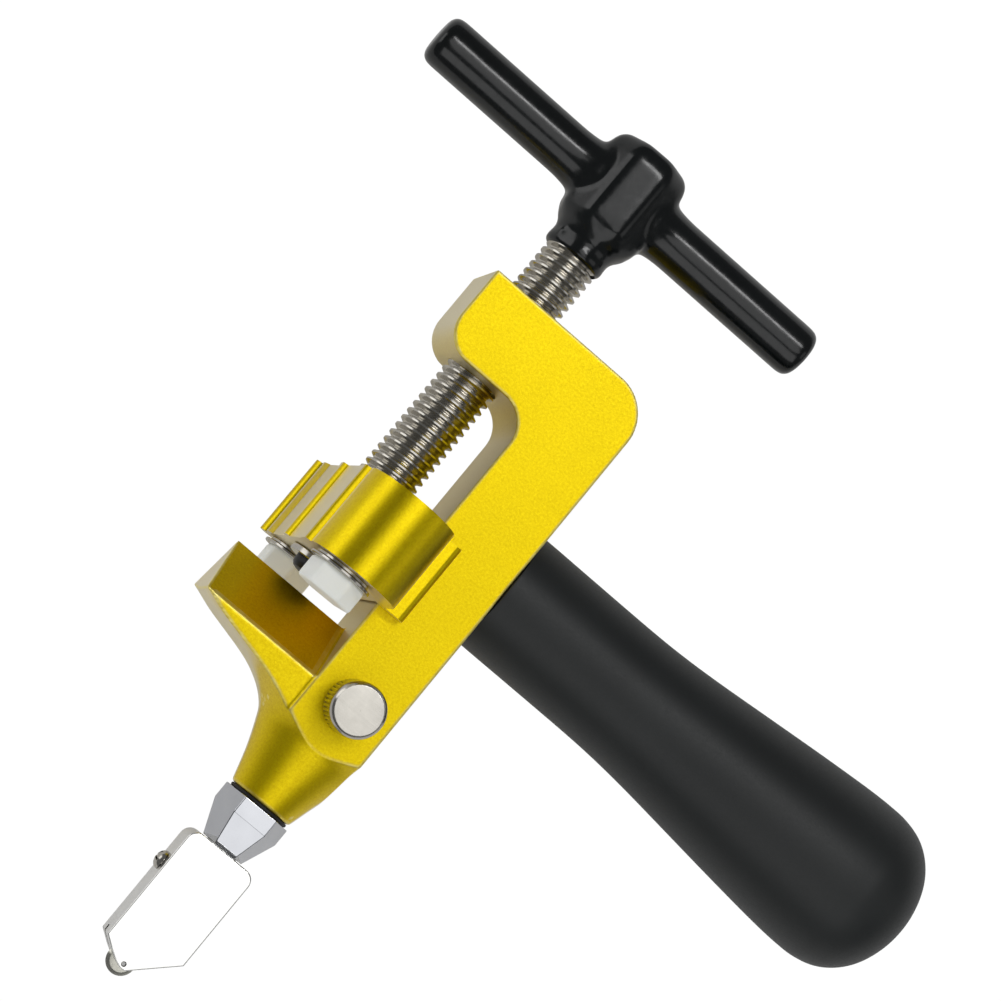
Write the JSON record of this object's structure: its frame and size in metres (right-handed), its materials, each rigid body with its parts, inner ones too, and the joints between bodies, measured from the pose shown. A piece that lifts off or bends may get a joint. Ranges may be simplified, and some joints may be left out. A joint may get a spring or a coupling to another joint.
{
  "type": "hand glass cutter",
  "caption": "Hand tile and glass cutter: gold C-frame with a swivelling wheel head at the nose, a screw-driven block with two soft pads over a fixed breaking ridge, a T-handle and a side grip.",
  "frame": {"origin": "middle of the breaking ridge of the fixed jaw, on the clamp screw's axis and in the middle of the frame's thickness", "axes": "+X toward the grip, +Y up the clamp screw toward the T-handle, +Z out of the front face that carries the locking screw"},
  "size_m": [0.1541, 0.158, 0.0554],
  "materials": {
    "gold_anodised": "fine blasted, bright yellow gold anodised",
    "nickel_screw": "nickel plated",
    "nickel_head": "polished nickel",
    "chrome_collar": "bright chrome",
    "plain_steel": "machined",
    "black_oxide": "black oxide",
    "carbide": "ground carbide",
    "dip_vinyl": "glossy dipped vinyl",
    "grip_black": "satin moulded",
    "nylon_white": "natural nylon, slightly translucent",
    "gasket_rubber": "black rubber",
    "brass_insert": "turned brass"
  },
  "bodies": {
    "frame_body": {"frame": "gold_anodised", "grip_stud": "plain_steel", "grip_insert": "brass_insert", "grip": "grip_black"},
    "slider": {"press_block": "gold_anodised", "pad_bolt_front": "nylon_white", "pad_bolt_rear": "nylon_white", "pad_washer_front": "nickel_screw", "pad_washer_rear": "nickel_screw"},
    "screw": {"clamp_screw": "nickel_screw", "thrust_washer": "nickel_screw", "retaining_screw": "black_oxide", "hub_core": "plain_steel", "hub_pin": "plain_steel", "cross_bar": "plain_steel", "handle_coating": "dip_vinyl"},
    "lock": {"locking_screw": "nickel_screw"},
    "cartridge": {"cutter_shank": "plain_steel", "nose_gasket": "gasket_rubber", "collar": "chrome_collar"},
    "head": {"head_body": "nickel_head", "head_side_screw": "nickel_screw", "wheel_axle": "plain_steel"},
    "cutting_wheel": {"wheel": "carbide"}
  },
  "joints": [
    {"name": "block_slide", "type": "slide", "parent": "frame_body", "child": "slider", "axis": [0, 1, 0], "range_m": [-0.00061, 0.01951]},
    {"name": "screw_turn", "type": "hinge", "parent": "slider", "child": "screw", "pos_m": [0, 0.0836, 0], "axis": [0, 1, 0], "range_deg": [-144, 4680]},
    {"name": "lock_turn", "type": "hinge", "parent": "frame_body", "child": "lock", "pos_m": [0.0175, -0.0095, 0.01], "axis": [0, 0, 1], "range_deg": [0, 1080]},
    {"name": "cartridge_slide", "type": "slide", "parent": "frame_body", "child": "cartridge", "axis": [0, -1, 0], "range_m": [0, 0.025]},
    {"name": "head_swivel", "type": "hinge", "parent": "cartridge", "child": "head", "pos_m": [0.0175, -0.045, 0], "axis": [0, 1, 0], "range_deg": [-15, 15]},
    {"name": "wheel_spin", "type": "hinge", "parent": "head", "child": "cutting_wheel", "pos_m": [0.0164, -0.0631, 0], "axis": [0, 0, 1], "continuous": true}
  ],
  "couplings": [
    {"joint": "block_slide", "follows": "screw_turn", "m_per_rad": 0.00023873}
  ]
}
